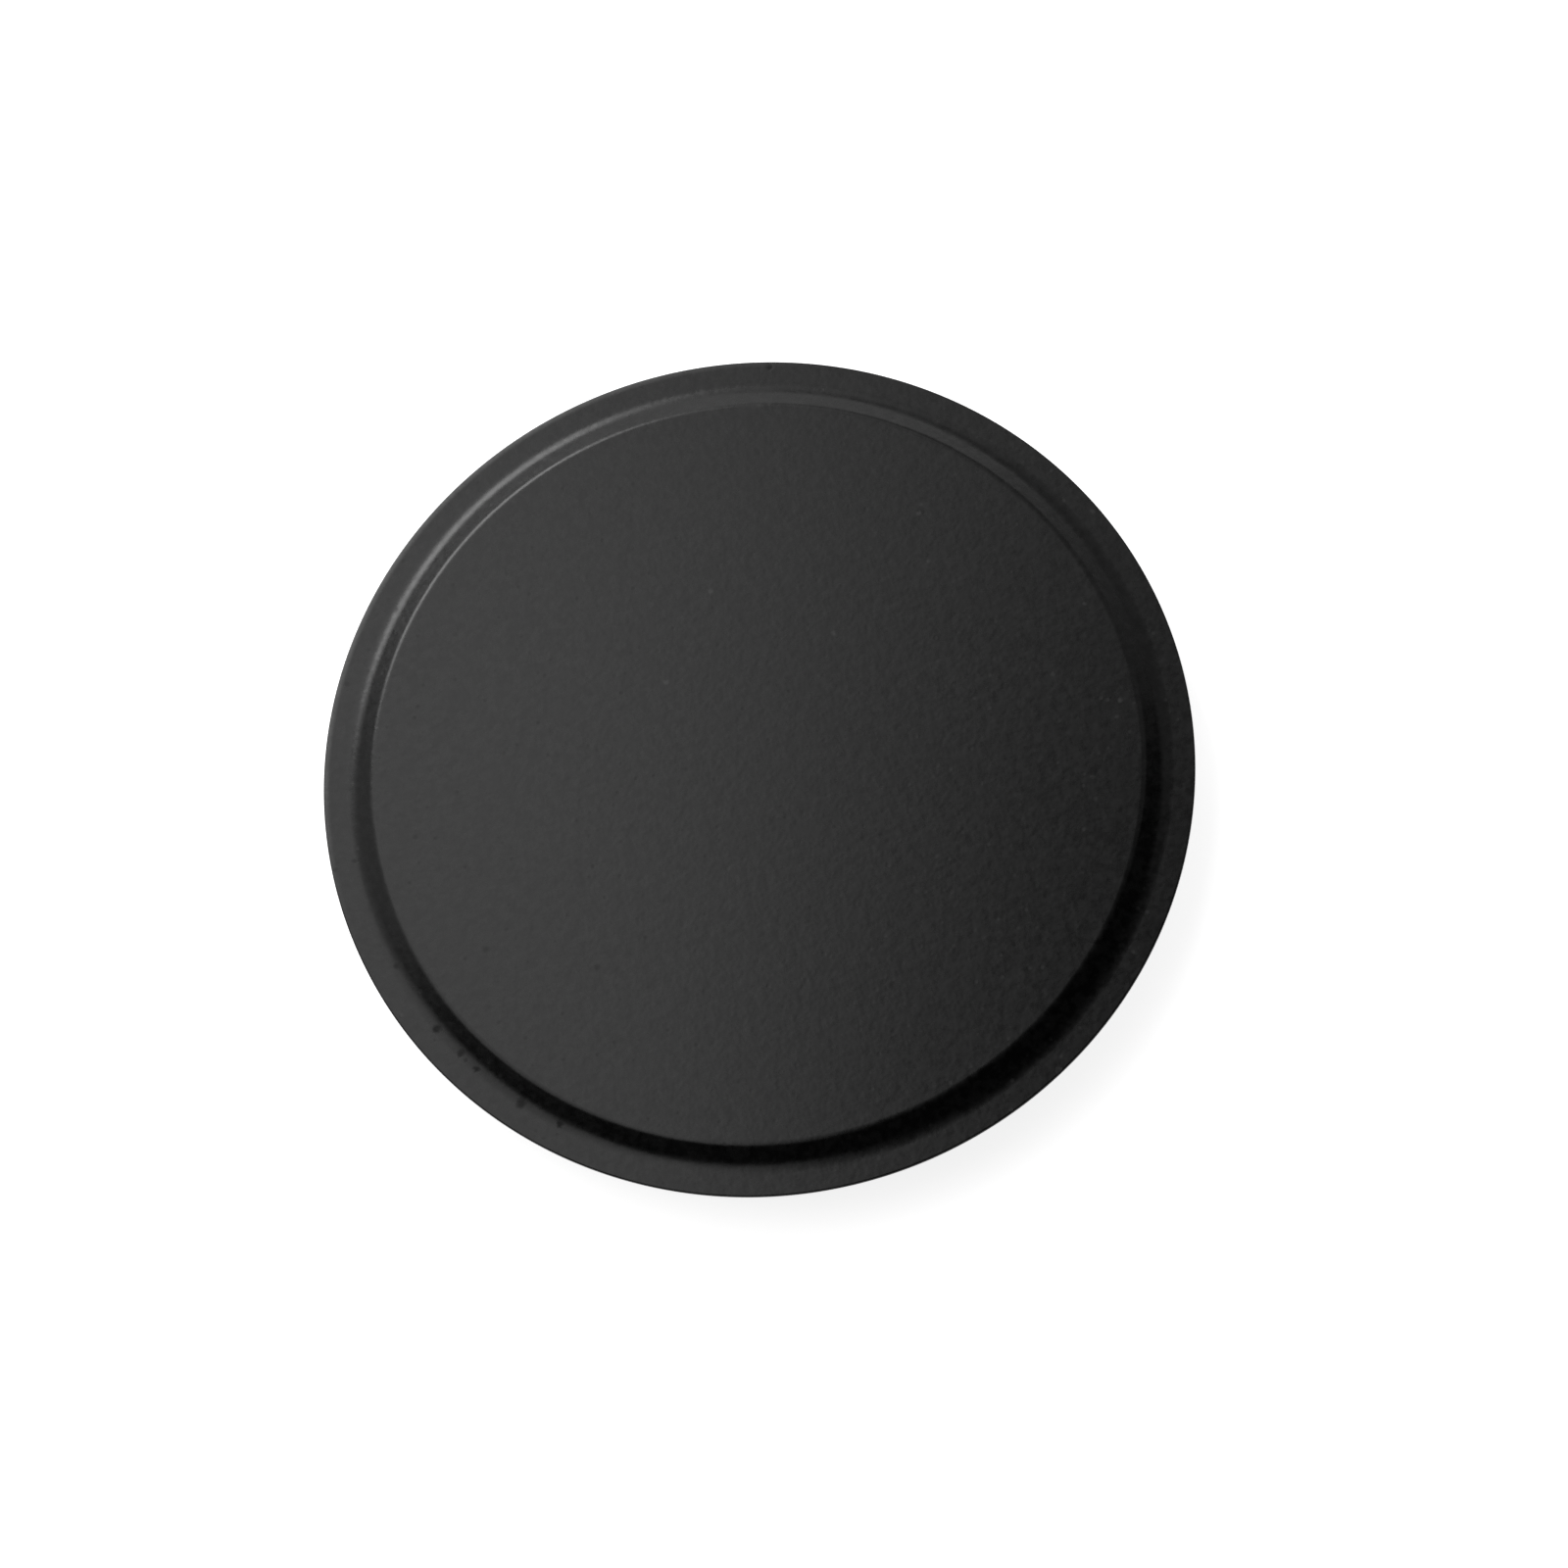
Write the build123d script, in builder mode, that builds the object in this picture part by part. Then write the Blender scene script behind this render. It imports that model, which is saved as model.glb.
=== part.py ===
from build123d import *
import os
from math import radians, tan

# Screw-in metal lens cap, turned in one piece from aluminium bar and anodised black.
# It lies as it rests on a table: the threaded collar down, the raised front face up.
# All sizes are in millimetres and all angles in degrees.

# Collar that carries the M52 x 0.75 thread, plain here at the thread's outside diameter
thread_diameter = 51.9
collar_length = 3.6
collar_wall = 1.55
thread_lead_in = 0.5
relief_width = 0.7
relief_depth = 0.55
rim_edge_break = 0.2

# Flange: the thin plate that stands out past the thread and is turned with the fingertips
flange_overhang = 1.55
flange_thickness = 1.0
flange_top_edge_radius = 0.1
flange_finger_bevel = 0.75

# Step from the flange's flat rim up to the front face, a shallow cone all round
rim_width = 1.82
step_height = 0.65
step_slope = 26.0
step_cove_radius = 2.0
face_edge_radius = 0.85

# Recess behind the face, which leaves room for a domed front lens
plate_thickness = 1.0
recess_corner_radius = 0.5

# Heights of the faces above the rim that the cap rests on
flange_bottom = collar_length
flange_top = flange_bottom + flange_thickness
face_height = flange_top + step_height
recess_floor = face_height - plate_thickness

# Radii of the turned diameters
collar_radius = thread_diameter / 2
bore_radius = collar_radius - collar_wall
relief_radius = collar_radius - relief_depth
flange_radius = collar_radius + flange_overhang
step_foot_radius = flange_radius - rim_width
face_radius = step_foot_radius - step_height / tan(radians(step_slope))


def ring(part, radius, height):
    """The circular edge of the part at this radius and height."""
    near = 0.01
    return [
        edge
        for edge in part.edges().filter_by(GeomType.CIRCLE)
        if abs(edge.radius - radius) < near and abs(edge.center().Z - height) < near
    ]


with BuildPart() as cap_body:
    # The turned section, from the axis out along the front and back along the collar
    with BuildSketch(Plane.XZ):
        with BuildLine():
            Polyline(
                (0, face_height),
                (face_radius, face_height),
                (step_foot_radius, flange_top),
                (flange_radius, flange_top),
                (flange_radius, flange_bottom),
                (relief_radius, flange_bottom),
                (relief_radius, flange_bottom - relief_width),
                (collar_radius, flange_bottom - relief_width),
                (collar_radius, 0),
                (bore_radius, 0),
                (bore_radius, recess_floor),
                (0, recess_floor),
                close=True,
            )
        make_face()
    revolve(axis=Axis.Z)

    # Wide cove at the foot of the step and softened edge of the face, both left by the turning tool
    fillet(ring(cap_body, step_foot_radius, flange_top), step_cove_radius)
    fillet(ring(cap_body, face_radius, face_height), face_edge_radius)
    fillet(ring(cap_body, bore_radius, recess_floor), recess_corner_radius)

    # Edges of the flange: rounded above, bevelled below so that a fingernail gets under it
    fillet(ring(cap_body, flange_radius, flange_top), flange_top_edge_radius)
    chamfer(ring(cap_body, flange_radius, flange_bottom), flange_finger_bevel)

    # Rim of the collar: a lead-in for the thread outside, a broken edge inside
    chamfer(ring(cap_body, collar_radius, 0), thread_lead_in)
    chamfer(ring(cap_body, bore_radius, 0), rim_edge_break)

cap_body.part.label = "cap_body"

os.makedirs("parts", exist_ok=True)
export_step(cap_body.part, "parts/cap_body.step")
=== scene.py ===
from math import ceil, cos, pi, radians, sin, tan

import bmesh
import bpy
from mathutils import Matrix, Vector


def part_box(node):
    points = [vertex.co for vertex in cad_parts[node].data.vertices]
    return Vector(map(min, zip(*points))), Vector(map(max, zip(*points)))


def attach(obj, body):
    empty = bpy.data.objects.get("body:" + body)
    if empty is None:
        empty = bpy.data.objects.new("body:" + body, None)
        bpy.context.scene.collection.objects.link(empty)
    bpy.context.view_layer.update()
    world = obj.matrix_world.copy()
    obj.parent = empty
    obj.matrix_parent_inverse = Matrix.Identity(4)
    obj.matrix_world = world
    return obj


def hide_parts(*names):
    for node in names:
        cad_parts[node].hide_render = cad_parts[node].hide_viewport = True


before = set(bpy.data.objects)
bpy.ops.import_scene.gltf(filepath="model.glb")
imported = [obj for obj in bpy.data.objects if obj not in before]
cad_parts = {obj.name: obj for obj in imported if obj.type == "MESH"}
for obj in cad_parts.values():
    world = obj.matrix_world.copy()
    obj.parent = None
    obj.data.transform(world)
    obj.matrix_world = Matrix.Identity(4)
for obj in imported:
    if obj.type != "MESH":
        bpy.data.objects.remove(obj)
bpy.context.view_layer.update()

# The cap: one disc turned from aluminium bar, with a thin flange, a raised front face, a threaded
# collar behind and a recess for the lens. A lathe tool cut it all round from one drawn section, so
# it is that section turned about the axis, with the thread climbing round the collar. Sizes in mm.

MM = 0.001
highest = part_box("cap_body")[1]
flange_radius = highest.x / MM
face_height = highest.z / MM

flange_thickness = 1.0
step_height = 0.65
step_slope = 26.0
step_cove_radius = 2.0
face_edge_radius = 0.85
rim_width = 1.82
top_edge_radius = 0.1
finger_bevel = 0.75

flange_overhang = 1.55
collar_wall = 1.55
lead_in = 0.5
relief_width = 0.7
relief_depth = 0.55
rim_edge_break = 0.2
plate_thickness = 1.0
recess_corner_radius = 0.5
burr_radius = 0.04

thread_pitch = 0.75
thread_depth = 0.46
thread_flank_slope = 30.0
thread_crest = thread_pitch / 8
thread_flank = thread_depth * tan(radians(thread_flank_slope))
thread_root = thread_pitch - thread_crest - 2 * thread_flank

flange_top = face_height - step_height
flange_bottom = flange_top - flange_thickness
recess_floor = face_height - plate_thickness
step_foot_radius = flange_radius - rim_width
face_radius = step_foot_radius - step_height / tan(radians(step_slope))
collar_radius = flange_radius - flange_overhang
relief_radius = collar_radius - relief_depth
bore_radius = collar_radius - collar_wall
lead_in_radius = collar_radius - lead_in
thread_top = flange_bottom - relief_width

# How finely the section is drawn and turned, when two points are one, and which edges are sharp
facets_round = 400
arc_step = 4.0
fewest_arc_steps = 3
longest_row = 2.4
corner_row = 0.03
weld_distance = 0.001
sharp_angle = 30.0


def rounded(before, corner, after, radius):
    """Points of the arc that rounds off one corner of the section."""
    if radius == 0:
        return [corner]
    into = (corner - before).normalized()
    out = (after - corner).normalized()
    turn = into.angle(out)
    reach = radius * tan(turn / 2)
    start = corner - into * reach
    side = Vector((-into.y, into.x))
    if side.dot(out) < 0:
        side = -side
    centre = start + side * radius
    steps = max(fewest_arc_steps, ceil(turn / radians(arc_step)))
    arc = []
    for step in range(steps + 1):
        along = turn * step / steps
        arc.append(centre - side * radius * cos(along) + into * radius * sin(along))
    return arc


def rows_between(start, end):
    """Points along a straight stretch, one of them close to each end, which keeps its shading flat."""
    length = (end - start).length
    if length <= 3 * corner_row:
        return []
    rows = ceil(length / longest_row)
    stops = [corner_row] + [length * row / rows for row in range(1, rows)] + [length - corner_row]
    return [start.lerp(end, stop / length) for stop in stops]


def drawn(corners):
    """The points along a run of corners, each given as its radius, its height and its rounding."""
    places = [Vector((radius, height)) for radius, height, rounding in corners]
    points = places[:1]
    for index in range(1, len(corners) - 1):
        rounding = corners[index][2]
        arc = rounded(places[index - 1], places[index], places[index + 1], rounding)
        points += rows_between(points[-1], arc[0]) + arc
    return points + rows_between(points[-1], places[-1]) + places[-1:]


# The front and the flange, then the thread's rows, then the rim of the collar and the recess
front = drawn([
    (0, face_height, 0),
    (face_radius, face_height, face_edge_radius),
    (step_foot_radius, flange_top, step_cove_radius),
    (flange_radius, flange_top, top_edge_radius),
    (flange_radius, flange_bottom + finger_bevel, burr_radius),
    (flange_radius - finger_bevel, flange_bottom, burr_radius),
    (relief_radius, flange_bottom, burr_radius),
    (relief_radius, thread_top, 0),
])
row_phases = [
    thread_crest / 2,
    thread_pitch / 2 - thread_root / 2,
    thread_pitch / 2 + thread_root / 2,
    thread_pitch - thread_crest / 2,
]
rows_below = [
    turn * thread_pitch + phase
    for turn in range(-1, ceil(thread_top / thread_pitch))
    for phase in row_phases
]
row_heights = [thread_top] + sorted((z for z in rows_below if z < thread_top), reverse=True)
thread_rows = [Vector((collar_radius, height)) for height in row_heights + [-thread_pitch]]
back = drawn([
    (lead_in_radius, 0, 0),
    (bore_radius + rim_edge_break, 0, burr_radius),
    (bore_radius, rim_edge_break, burr_radius),
    (bore_radius, recess_floor, recess_corner_radius),
    (0, recess_floor, 0),
])
section_points = front + thread_rows + back

section = bpy.data.meshes.new("cap_section")
section.from_pydata(
    [(point.x * MM, 0, point.y * MM) for point in section_points],
    [(index, index + 1) for index in range(len(section_points) - 1)],
    [],
)
threaded = section.attributes.new("threaded", "FLOAT", "POINT")
behind = section.attributes.new("behind", "FLOAT", "POINT")
for index in range(len(section_points)):
    in_thread = len(front) <= index < len(front) + len(thread_rows)
    threaded.data[index].value = float(in_thread)
    behind.data[index].value = float(index >= len(front))
cap = bpy.data.objects.new("lens_cap", section)
bpy.context.scene.collection.objects.link(cap)


def add(tree, kind, inputs=None, **settings):
    """A node of this kind, with its settings, and its inputs linked or set by name or number."""
    node = tree.nodes.new(kind)
    for name, value in settings.items():
        setattr(node, name, value)
    for socket, value in (inputs or {}).items():
        if isinstance(value, bpy.types.NodeSocket):
            tree.links.new(value, node.inputs[socket])
        else:
            node.inputs[socket].default_value = value
    return node


def worked_out(tree, operation, *values, clamp=False):
    """The result of one step of arithmetic."""
    inputs = dict(enumerate(values))
    return add(tree, "ShaderNodeMath", inputs, operation=operation, use_clamp=clamp).outputs[0]


def mixed(tree, share, first, second, data_type="FLOAT"):
    """What lies this share of the way from the first number or colour to the second."""
    first_socket, second_socket, result = {"FLOAT": (2, 3, 0), "RGBA": (6, 7, 2)}[data_type]
    inputs = {0: share, first_socket: first, second_socket: second}
    return add(tree, "ShaderNodeMix", inputs, data_type=data_type).outputs[result]


# The finishes, made further down, are assigned by the same tree that turns the section
blasted_black = bpy.data.materials.new("blasted_black_anodise")
turned_black = bpy.data.materials.new("turned_black_anodise")

turning = bpy.data.node_groups.new("turn_with_thread", "GeometryNodeTree")
turning.interface.new_socket("Section", in_out="INPUT", socket_type="NodeSocketGeometry")
turning_sizes = {
    "Facets round": ("NodeSocketInt", facets_round),
    "Pitch": ("NodeSocketFloat", thread_pitch * MM),
    "Depth": ("NodeSocketFloat", thread_depth * MM),
    "Crest": ("NodeSocketFloat", thread_crest * MM),
    "Flank": ("NodeSocketFloat", thread_flank * MM),
    "Thread top": ("NodeSocketFloat", thread_top * MM),
    "Lead-in radius": ("NodeSocketFloat", lead_in_radius * MM),
    "Front finish": ("NodeSocketMaterial", blasted_black),
    "Back finish": ("NodeSocketMaterial", turned_black),
}
for size_name, (socket_type, value) in turning_sizes.items():
    turning.interface.new_socket(size_name, in_out="INPUT", socket_type=socket_type)
turning.interface.new_socket("Cap", in_out="OUTPUT", socket_type="NodeSocketGeometry")
given = add(turning, "NodeGroupInput").outputs

# Every point of a grid knows which point of the section it is, and how far round it has gone
section_size = add(turning, "GeometryNodeAttributeDomainSize", {"Geometry": given["Section"]})
row_count = section_size.outputs["Point Count"]
columns = worked_out(turning, "ADD", given["Facets round"], 1)
grid = add(turning, "GeometryNodeMeshGrid", {"Vertices X": columns, "Vertices Y": row_count})
number = add(turning, "GeometryNodeInputIndex").outputs[0]
row = worked_out(turning, "MODULO", number, row_count)
column = worked_out(turning, "FLOOR", worked_out(turning, "DIVIDE", number, row_count))
turns = worked_out(turning, "DIVIDE", column, given["Facets round"])
angle = worked_out(turning, "MULTIPLY", turns, 2 * pi)


def of_row(value, data_type):
    """A value of the section, read at this point's row."""
    inputs = {"Geometry": given["Section"], "Value": value, "Index": row}
    return add(turning, "GeometryNodeSampleIndex", inputs, data_type=data_type).outputs[0]


def attribute_of_row(name):
    value = add(turning, "GeometryNodeInputNamedAttribute", {"Name": name}, data_type="FLOAT")
    return of_row(value.outputs[0], "FLOAT")


place = of_row(add(turning, "GeometryNodeInputPosition").outputs[0], "FLOAT_VECTOR")
drawn_place = add(turning, "ShaderNodeSeparateXYZ", {0: place}).outputs
is_thread = attribute_of_row("threaded")
is_behind = attribute_of_row("behind")

# A row of the thread climbs one pitch in each turn, and stops at the rim and at the relief groove
climb = worked_out(turning, "MULTIPLY", turns, given["Pitch"])
climbed = worked_out(turning, "ADD", drawn_place["Z"], climb)
above_rim = worked_out(turning, "MAXIMUM", climbed, 0.0)
on_collar = worked_out(turning, "MINIMUM", above_rim, given["Thread top"])

# How far it has gone from the middle of the nearest crest says how deep the thread is cut there
uncoiled = worked_out(turning, "SUBTRACT", on_collar, climb)
pitches = worked_out(turning, "DIVIDE", uncoiled, given["Pitch"])
crest_offset = worked_out(turning, "PINGPONG", pitches, 0.5)
from_crest = worked_out(turning, "MULTIPLY", crest_offset, given["Pitch"])
half_crest = worked_out(turning, "MULTIPLY", given["Crest"], 0.5)
past_crest = worked_out(turning, "SUBTRACT", from_crest, half_crest)
share_cut = worked_out(turning, "DIVIDE", past_crest, given["Flank"], clamp=True)
cut = worked_out(turning, "MULTIPLY", share_cut, given["Depth"])
thread_radius = worked_out(turning, "SUBTRACT", drawn_place["X"], cut)
lead_in_cone = worked_out(turning, "ADD", given["Lead-in radius"], on_collar)
cut_radius = worked_out(turning, "MINIMUM", thread_radius, lead_in_cone)

radius = mixed(turning, is_thread, drawn_place["X"], cut_radius)
height = mixed(turning, is_thread, drawn_place["Z"], on_collar)
along_x = worked_out(turning, "MULTIPLY", radius, worked_out(turning, "COSINE", angle))
along_y = worked_out(turning, "MULTIPLY", radius, worked_out(turning, "SINE", angle))
position = add(turning, "ShaderNodeCombineXYZ", {0: along_x, 1: along_y, 2: height}).outputs[0]
turned = add(turning, "GeometryNodeSetPosition", {"Geometry": grid.outputs[0], "Position": position})
marked = add(
    turning,
    "GeometryNodeStoreNamedAttribute",
    {"Geometry": turned.outputs[0], "Name": "behind", "Value": is_behind},
    data_type="FLOAT",
    domain="POINT",
)
closed = add(
    turning,
    "GeometryNodeMergeByDistance",
    {"Geometry": marked.outputs[0], "Distance": weld_distance * MM},
)
whole = add(turning, "GeometryNodeRealizeInstances", {"Geometry": closed.outputs[0]})

# A face has the back's finish where half its corners or more lie past the relief groove
back_share = 0.4
behind_here = add(turning, "GeometryNodeInputNamedAttribute", {"Name": "behind"}, data_type="FLOAT")
in_back = worked_out(turning, "GREATER_THAN", behind_here.outputs[0], back_share)
fronted = add(
    turning,
    "GeometryNodeSetMaterial",
    {"Geometry": whole.outputs[0], "Material": given["Front finish"]},
)
backed = add(
    turning,
    "GeometryNodeSetMaterial",
    {"Geometry": fronted.outputs[0], "Selection": in_back, "Material": given["Back finish"]},
)
add(turning, "NodeGroupOutput", {"Cap": backed.outputs[0]})

lathe = cap.modifiers.new("turning", "NODES")
lathe.node_group = turning
for item in turning.interface.items_tree:
    if item.in_out == "INPUT" and item.name in turning_sizes:
        lathe[item.identifier] = turning_sizes[item.name][1]

# The turned mesh takes the section's place, with all its faces pointing outwards
turned_cap = cap.evaluated_get(bpy.context.evaluated_depsgraph_get())
turned_mesh = bpy.data.meshes.new_from_object(turned_cap)
cap.modifiers.remove(lathe)
cap.data = turned_mesh
shell = bmesh.new()
shell.from_mesh(turned_mesh)
bmesh.ops.recalc_face_normals(shell, faces=shell.faces)
shell.to_mesh(turned_mesh)
shell.free()
turned_mesh.shade_smooth()
turned_mesh.set_sharp_from_angle(angle=radians(sharp_angle))
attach(cap, "root")
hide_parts("cap_body")

# Black anodise on the bead-blasted front and flange: a dyed oxide skin, near black, whose sheen
# varies from bead mark to bead mark, more in some patches than in others, with small pits. The
# specks and the dust are those that this cap shows; the lighter band along one side of the edge is
# a painted highlight. Sizes and depths in mm.

skin_dark = (0.0003, 0.0003, 0.0003, 1)
skin_light = (0.0034, 0.0034, 0.0034, 1)
skin_roughness = 0.28
skin_ior = 1.42

# A span is the part of a pattern's range over which its effect grows from none to full
grain_size = 0.55
grain_depth = 0.009
mottle_size = 0.6
mottle_span = (0.40, 0.64)
bead_size = 0.5
bead_span = (0.32, 0.68)
sheen_spread = 0.024
patch_size = 4.0
patch_span = (0.35, 0.65)
patch_strength = (0.6, 1.0)
pit_spacing = 1.1
pit_span = (0.05, 0.16)
pit_dulling = 0.12
pit_depth = 0.0025

# Specks: each one's distance from the axis, the way it lies in degrees, its size, and how much it
# dulls the skin, which is less than nothing for the one that is glossy
specks = [
    (25.83, 212.0, 0.30, 0.9),
    (25.78, 208.8, 0.34, 0.8),
    (25.88, 210.0, 0.20, 0.6),
    (25.74, 193.0, 0.32, 0.7),
    (25.74, 226.3, 0.34, 1.0),
    (25.86, 220.0, 0.46, 0.8),
    (25.88, 203.9, 0.38, 0.9),
    (25.22, 198.0, 0.18, 0.6),
    (27.10, 199.3, 0.22, -0.4),
    (27.15, 73.2, 0.32, 0.9),
    (25.76, 65.7, 0.18, 0.6),
    (27.30, 298.1, 0.28, 0.8),
    (27.32, 290.0, 0.18, 0.6),
    (25.93, 176.4, 0.24, 0.5),
    (27.25, 177.0, 0.24, 0.5),
    (26.89, 150.7, 0.24, 0.3),
    (21.85, 175.1, 0.24, 0.3),
    (20.41, 198.8, 0.30, 0.3),
    (16.12, 216.9, 0.30, 0.3),
]
speck_dulling = 0.5
speck_depth = 0.010

# Flecks of dust, given in the same way, with how much of the dust's tone each shows
flecks = [
    (23.19, 354.5, 0.24, 0.9),
    (22.83, 351.9, 0.20, 0.6),
    (23.17, 11.4, 0.22, 0.6),
    (19.63, 43.1, 0.22, 0.8),
    (20.21, 43.7, 0.18, 0.5),
    (17.34, 35.9, 0.20, 0.5),
    (19.52, 1.9, 0.20, 0.5),
    (21.10, 341.9, 0.20, 0.5),
    (8.22, 118.7, 0.26, 0.8),
    (10.12, 46.1, 0.22, 0.7),
    (12.21, 88.6, 0.22, 0.7),
    (27.05, 23.0, 0.22, 0.6),
]
fleck_tone = (0.03, 0.03, 0.03, 1)

# How far a mark is smudged, and the share of its size over which it is at its full strength
smudge_reach = 0.25
mark_core = 0.3

# The painted highlight along one side of the edge, where the rounded edge faces the key light: its
# tone, its reach from the axis, the way its middle lies, and the cosines of the angles from there
# at which it starts and is full
edge_highlight_tone = (0.08, 0.08, 0.08, 1)
highlight_inner_radius = 27.05
highlight_outer_radius = 27.38
highlight_angle = 128.0
highlight_start_cosine = 0.45
highlight_full_cosine = 0.98
highlight_grain_span = (0.35, 0.65)
highlight_grain_strength = (0.75, 1.0)


def noise(tree, place, size, detail, roughness=0.5):
    """A noise with features of this size, from 0 to 1."""
    inputs = {"Vector": place, "Scale": 1 / (size * MM), "Detail": detail, "Roughness": roughness}
    return add(tree, "ShaderNodeTexNoise", inputs).outputs[0]


def ranged(tree, value, span, result):
    """The first result below this span of the value, the second above it, and a smooth way between."""
    inputs = {"Value": value, 1: span[0], 2: span[1], 3: result[0], 4: result[1]}
    return add(tree, "ShaderNodeMapRange", inputs, interpolation_type="SMOOTHSTEP").outputs[0]


def bumped(tree, height, depth, below=None):
    """A surface raised by this height, from 0 to 1, times the depth in mm."""
    inputs = {"Height": height, "Distance": depth * MM, "Strength": 1.0}
    if below is not None:
        inputs["Normal"] = below
    return add(tree, "ShaderNodeBump", inputs).outputs[0]


def anodise(material):
    """The shader and tree of a black anodised skin."""
    material.use_nodes = True
    tree = material.node_tree
    shader = tree.nodes["Principled BSDF"]
    shader.inputs["IOR"].default_value = skin_ior
    return tree, shader


blasted, blasted_shader = anodise(blasted_black)
spot = add(blasted, "ShaderNodeTexCoord").outputs["Object"]
grain = noise(blasted, spot, grain_size, detail=1, roughness=0.6)
mottle_noise = noise(blasted, spot, mottle_size, detail=1, roughness=0.7)
mottle = ranged(blasted, mottle_noise, mottle_span, (0, 1))
bead_noise = noise(blasted, spot, bead_size, detail=1, roughness=0.6)
bead_marks = ranged(blasted, bead_noise, bead_span, (-sheen_spread, sheen_spread))
patches = ranged(blasted, noise(blasted, spot, patch_size, detail=1), patch_span, patch_strength)
pit_cells = add(blasted, "ShaderNodeTexVoronoi", {"Vector": spot, "Scale": 1 / (pit_spacing * MM)})
pits = ranged(blasted, pit_cells.outputs["Distance"], pit_span, (1, 0))

# Each mark is smudged out of round by a small random shift of the place it is measured from
flat_spot = add(blasted, "ShaderNodeVectorMath", {0: spot, 1: (1, 1, 0)}, operation="MULTIPLY")
smudge = add(blasted, "ShaderNodeTexNoise", {"Vector": spot, "Scale": 1 / (smudge_reach * MM)})
smudge_shift = (smudge_reach * MM, smudge_reach * MM, 0)
smudged_spot = add(
    blasted,
    "ShaderNodeVectorMath",
    {0: smudge.outputs["Color"], 1: smudge_shift, 2: flat_spot.outputs[0]},
    operation="MULTIPLY_ADD",
)


def marked_by(marks):
    """How strongly this place is marked, by all of these marks together."""
    mask = 0.0
    for mark_radius, mark_angle, mark_size, strength in marks:
        mark_x = mark_radius * cos(radians(mark_angle)) + smudge_reach / 2
        mark_y = mark_radius * sin(radians(mark_angle)) + smudge_reach / 2
        distance = add(
            blasted,
            "ShaderNodeVectorMath",
            {0: smudged_spot.outputs[0], 1: (mark_x * MM, mark_y * MM, 0)},
            operation="DISTANCE",
        ).outputs["Value"]
        mark_edge = (mark_core * mark_size * MM, mark_size * MM)
        one_mark = ranged(blasted, distance, mark_edge, (strength, 0))
        mask = worked_out(blasted, "ADD", mask, one_mark)
    return mask


# The sheen: blasted, duller in the pits and at the specks
speck_mask = marked_by(specks)
uneven_sheen = worked_out(blasted, "MULTIPLY", bead_marks, patches)
sheen = worked_out(blasted, "ADD", skin_roughness, uneven_sheen)
pit_sheen = worked_out(blasted, "MULTIPLY", pits, pit_dulling)
pitted_sheen = worked_out(blasted, "ADD", sheen, pit_sheen)
speck_sheen = worked_out(blasted, "MULTIPLY", speck_mask, speck_dulling)
worn_sheen = worked_out(blasted, "ADD", pitted_sheen, speck_sheen, clamp=True)
blasted.links.new(worn_sheen, blasted_shader.inputs["Roughness"])

# The tone: mottled and dusty, with a painted highlight that lightens the edge on the side facing the
# key light
mottled_tone = mixed(blasted, mottle, skin_dark, skin_light, "RGBA")
dusty_tone = mixed(blasted, marked_by(flecks), mottled_tone, fleck_tone, "RGBA")
from_axis = add(blasted, "ShaderNodeVectorMath", {0: flat_spot.outputs[0]}, operation="LENGTH")
# The side of the edge that gets the painted highlight, the side towards the key light
highlight_side = (cos(radians(highlight_angle)) / flange_radius, sin(radians(highlight_angle)) / flange_radius, 0)
towards_highlight = add(
    blasted,
    "ShaderNodeVectorMath",
    {0: flat_spot.outputs[0], 1: highlight_side},
    operation="DOT_PRODUCT",
)
edge_span = (highlight_inner_radius * MM, highlight_outer_radius * MM)
at_edge = ranged(blasted, from_axis.outputs["Value"], edge_span, (0, 1))
side_span = (highlight_start_cosine * MM, highlight_full_cosine * MM)
on_side = ranged(blasted, towards_highlight.outputs["Value"], side_span, (0, 1))
uneven = ranged(blasted, grain, highlight_grain_span, highlight_grain_strength)
# Where the painted highlight lies: at the edge, on its lit side, a little uneven with the grain
edge_on_side = worked_out(blasted, "MULTIPLY", at_edge, on_side)
painted_edge_highlight = worked_out(blasted, "MULTIPLY", edge_on_side, uneven)
highlighted_tone = mixed(blasted, painted_edge_highlight, dusty_tone, edge_highlight_tone, "RGBA")
blasted.links.new(highlighted_tone, blasted_shader.inputs["Base Color"])

# The surface: grain, with the pits and the specks sunk into it
grain_bump = bumped(blasted, grain, grain_depth)
pit_bump = bumped(blasted, worked_out(blasted, "SUBTRACT", 1.0, pits), pit_depth, grain_bump)
speck_height = worked_out(blasted, "SUBTRACT", 1.0, speck_mask)
speck_bump = bumped(blasted, speck_height, speck_depth, pit_bump)
blasted.links.new(speck_bump, blasted_shader.inputs["Normal"])

# Black anodise over bare turning marks, on the collar and in the recess: the tool's feed leaves
# fine rings about the axis, which the beads don't reach, so the skin there is a little glossier.

feed_rings = 0.11
ring_depth = 0.0012
turned_grain_size = 0.2
turned_grain_depth = 0.0010
turned_patch_size = 2.5
turned_patch_span = (0.3, 0.7)
turned_roughness = (0.25, 0.30)

# A wave pattern at scale 1 repeats at this distance
wave_length = pi / 10

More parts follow.
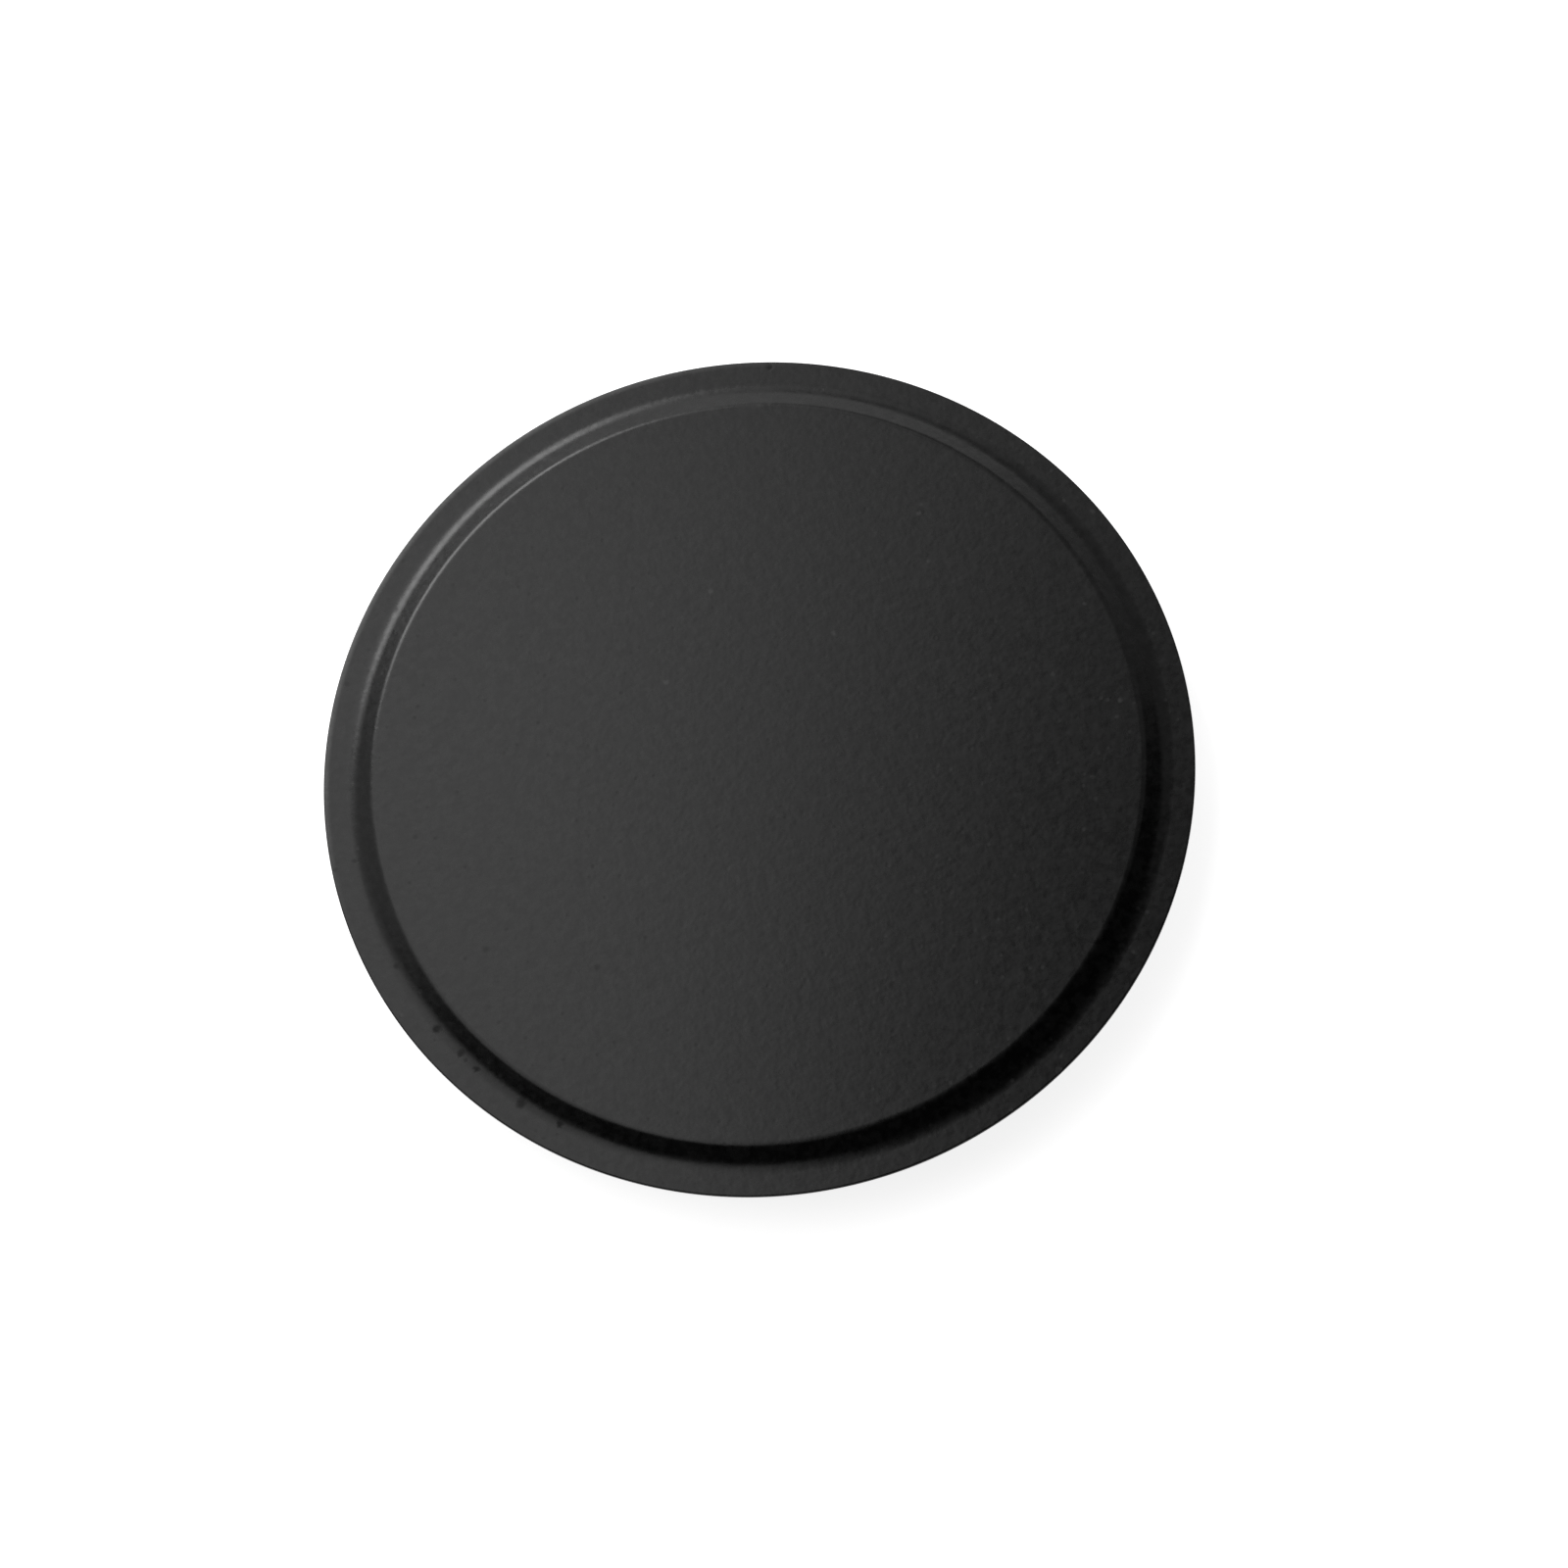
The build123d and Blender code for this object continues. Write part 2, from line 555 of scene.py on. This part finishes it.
lathed, lathed_shader = anodise(turned_black)
lathed_spot = add(lathed, "ShaderNodeTexCoord").outputs["Object"]
rings = add(
    lathed,
    "ShaderNodeTexWave",
    {
        "Vector": lathed_spot,
        "Scale": wave_length / (feed_rings * MM),
        "Distortion": 0.6,
        "Detail": 1.0,
        "Detail Scale": 0.4,
    },
    wave_type="RINGS",
    rings_direction="Z",
).outputs[1]
lathed_grain = noise(lathed, lathed_spot, turned_grain_size, detail=2)
lathed_patches = noise(lathed, lathed_spot, turned_patch_size, detail=2)
ring_bump = bumped(lathed, rings, ring_depth)
lathed_bump = bumped(lathed, lathed_grain, turned_grain_depth, ring_bump)
lathed.links.new(lathed_bump, lathed_shader.inputs["Normal"])
lathed_sheen = ranged(lathed, lathed_patches, turned_patch_span, turned_roughness)
lathed.links.new(lathed_sheen, lathed_shader.inputs["Roughness"])
lathed_tone = mixed(lathed, lathed_patches, skin_dark, skin_light, "RGBA")
lathed.links.new(lathed_tone, lathed_shader.inputs["Base Color"])

# The table: white paper, laid flat under the cap and out past every view. It shows white, and
# keeps a soft shadow under the flange.

paper_reach = 3000
paper_colour = (0.86, 0.86, 0.86, 1)
shown_white = 0.85
mirrored_white = 0.4

paper_corners = [(-1, -1), (1, -1), (1, 1), (-1, 1)]
paper_mesh = bpy.data.meshes.new("paper")
paper_mesh.from_pydata(
    [(across * paper_reach * MM, along * paper_reach * MM, 0) for across, along in paper_corners],
    [],
    [(0, 1, 2, 3)],
)
paper = bpy.data.objects.new("paper", paper_mesh)
bpy.context.scene.collection.objects.link(paper)
paper_white = bpy.data.materials.new("paper_white")
paper_white.use_nodes = True
paper_tree = paper_white.node_tree
paper_tree.nodes.clear()
seen = add(paper_tree, "ShaderNodeLightPath").outputs
seen_straight = worked_out(
    paper_tree,
    "MAXIMUM",
    seen["Is Camera Ray"],
    seen["Is Transmission Ray"],
)
shown_straight = worked_out(paper_tree, "MULTIPLY", seen_straight, shown_white)
mirrored = worked_out(paper_tree, "MULTIPLY", seen["Is Glossy Ray"], mirrored_white)
shown = worked_out(paper_tree, "ADD", shown_straight, mirrored)
matt_white = add(paper_tree, "ShaderNodeBsdfDiffuse", {"Color": paper_colour})
bright_white = add(paper_tree, "ShaderNodeEmission", {"Color": (1, 1, 1, 1), "Strength": shown})
paper_sum = add(
    paper_tree,
    "ShaderNodeAddShader",
    {0: matt_white.outputs[0], 1: bright_white.outputs[0]},
)
add(paper_tree, "ShaderNodeOutputMaterial", {0: paper_sum.outputs[0]})
paper_mesh.materials.append(paper_white)

# The studio: soft boxes, each given by its tilt from straight above, the way it stands on the
# table, counted round from the right, its distance, width and height in mm, and its power. The
# room adds a faint even light.

room_light = 0.01
soft_boxes = {
    "key": (51.5, 112, 685, 335, 250, 1.96),
    "top": (20, 153.5, 160, 165, 95, 0.056),
    "crown": (9.5, 176, 160, 155, 30, 0.0115),
    "ceiling": (44.5, 123.5, 240, 400, 210, 0.188),
    "side": (51, 53, 170, 225, 195, 0.041),
    "strip": (88.5, 72, 250, 665, 195, 0.43),
    "front": (75, 270, 300, 900, 160, 0.09),
}
for name, (tilt, bearing, distance, width, tall, power) in soft_boxes.items():
    lamp = bpy.data.lights.new(name, "AREA")
    lamp.shape = "RECTANGLE"
    lamp.size = width * MM
    lamp.size_y = tall * MM
    lamp.energy = power
    box = bpy.data.objects.new(name, lamp)
    bpy.context.scene.collection.objects.link(box)
    towards = Vector((
        sin(radians(tilt)) * cos(radians(bearing)),
        sin(radians(tilt)) * sin(radians(bearing)),
        cos(radians(tilt)),
    ))
    box.location = (towards * distance + Vector((0, 0, flange_top))) * MM
    box.rotation_mode = "QUATERNION"
    box.rotation_quaternion = towards.to_track_quat("Z", "Y")
    box.visible_camera = False

world = bpy.data.worlds.new("studio")
bpy.context.scene.world = world
world.use_nodes = True
world.node_tree.nodes["Background"].inputs["Color"].default_value = (1, 1, 1, 1)
world.node_tree.nodes["Background"].inputs["Strength"].default_value = room_light

# The camera: half a metre away and 18 degrees off the cap's axis, turned a little about its own.
# Its focal length is given in pixels of a picture this wide, and it aims beside the cap's middle.

camera_distance = 499.6
camera_elevation = 71.88
camera_roll = 15.95
camera_aim = (1.403, -1.230)
picture_width = 1600
focal_pixels = 8118
sensor_width = 36
nearest_seen = 10
farthest_seen = 20000

camera = bpy.data.cameras.new("camera")
camera.sensor_width = sensor_width
camera.lens = sensor_width * focal_pixels / picture_width
camera.clip_start = nearest_seen * MM
camera.clip_end = farthest_seen * MM
viewer = bpy.data.objects.new("camera", camera)
bpy.context.scene.collection.objects.link(viewer)
rise = radians(camera_elevation)
roll = radians(camera_roll)
backwards = Vector((0, -cos(rise), sin(rise)))
level_right = Vector((1, 0, 0))
level_up = Vector((0, sin(rise), cos(rise)))
right = cos(roll) * level_right - sin(roll) * level_up
up = cos(roll) * level_up + sin(roll) * level_right
aim = Vector((*camera_aim, flange_top)) * MM
turn = Matrix((right, up, backwards)).transposed().to_4x4()
viewer.matrix_world = Matrix.Translation(aim + backwards * camera_distance * MM) @ turn
bpy.context.scene.camera = viewer
bpy.context.scene.view_settings.view_transform = "Standard"
